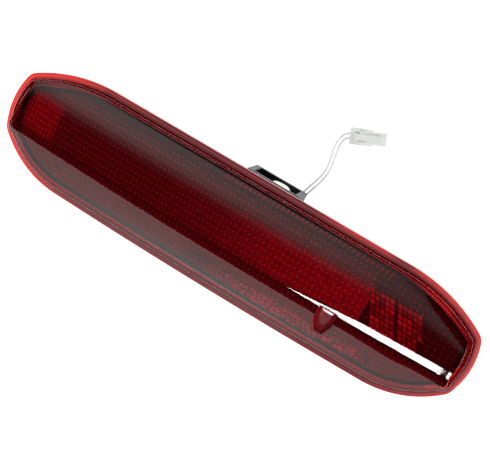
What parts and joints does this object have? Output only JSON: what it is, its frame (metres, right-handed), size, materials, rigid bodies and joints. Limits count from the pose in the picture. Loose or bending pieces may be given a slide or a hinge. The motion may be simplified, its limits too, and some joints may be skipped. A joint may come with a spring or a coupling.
{
  "type": "third brake light",
  "caption": "Long red high-mounted brake light with tapered ends, bonded lens, bulb tray, rear bracket and a short two-wire lead.",
  "frame": {"origin": "on the surface the lamp lies on, below the middle of its outline", "axes": "+X along the lamp, +Y towards its top edge, where the lead leaves, +Z out through the lens"},
  "size_m": [0.35, 0.1433, 0.0565],
  "materials": {
    "red_lens": "gloss",
    "red_optic": "gloss",
    "adhesive": "matte",
    "reflector": "mirror",
    "zinc_steel": "satin",
    "brass": "satin",
    "black_plastic": "satin",
    "foam_rubber": "matte",
    "black_rubber": "matte",
    "white_nylon": "satin",
    "white_insulation": "satin",
    "seal_rubber": "matte",
    "bulb_glass": "gloss",
    "filament_wire": "satin"
  },
  "bodies": {
    "lamp": {"outer_lens": "red_lens", "lens_bond": "adhesive", "optic_plate": "red_optic", "reflector_left": "reflector", "reflector_centre": "reflector", "reflector_right": "reflector", "reflector_screws": "zinc_steel", "contact_strip_live": "brass", "contact_strip_earth": "brass", "rear_housing": "black_plastic", "body_gasket": "foam_rubber", "mounting_studs": "zinc_steel", "stud_seals": "foam_rubber", "vent_cap": "black_rubber", "rear_bracket": "black_plastic", "bracket_screws": "zinc_steel", "fixing_clip": "white_nylon", "lead_grommet": "black_rubber", "wire_live": "white_insulation", "wire_earth": "white_insulation", "connector_housing": "white_nylon", "connector_terminals": "brass", "wire_seals": "seal_rubber"},
    "bulb_holder_1": {"bulb_holder_1": "black_plastic", "holder_seal_1": "black_rubber", "bulb_1": "bulb_glass", "filament_1": "filament_wire"},
    "bulb_holder_2": {"bulb_holder_2": "black_plastic", "holder_seal_2": "black_rubber", "bulb_2": "bulb_glass", "filament_2": "filament_wire"},
    "bulb_holder_3": {"bulb_holder_3": "black_plastic", "holder_seal_3": "black_rubber", "bulb_3": "bulb_glass", "filament_3": "filament_wire"},
    "bulb_holder_4": {"bulb_holder_4": "black_plastic", "holder_seal_4": "black_rubber", "bulb_4": "bulb_glass", "filament_4": "filament_wire"},
    "latch": {"connector_latch": "white_nylon"}
  },
  "joints": [
    {"name": "holder_1_twist", "type": "hinge", "parent": "lamp", "child": "bulb_holder_1", "pos_m": [-0.132, 0, 0.018], "axis": [0, 0, 1], "range_deg": [0, 45]},
    {"name": "holder_2_twist", "type": "hinge", "parent": "lamp", "child": "bulb_holder_2", "pos_m": [-0.048, 0, 0.018], "axis": [0, 0, 1], "range_deg": [0, 45]},
    {"name": "holder_3_twist", "type": "hinge", "parent": "lamp", "child": "bulb_holder_3", "pos_m": [0.048, 0, 0.018], "axis": [0, 0, 1], "range_deg": [0, 45]},
    {"name": "holder_4_twist", "type": "hinge", "parent": "lamp", "child": "bulb_holder_4", "pos_m": [0.132, 0, 0.018], "axis": [0, 0, 1], "range_deg": [0, 45]},
    {"name": "latch_press", "type": "hinge", "parent": "lamp", "child": "latch", "pos_m": [0.04088, 0.09173, 0.0099], "axis": [-0.3665, 0.9304, 0], "range_deg": [0, 5], "stiffness_Nm_per_rad": 0.003}
  ]
}
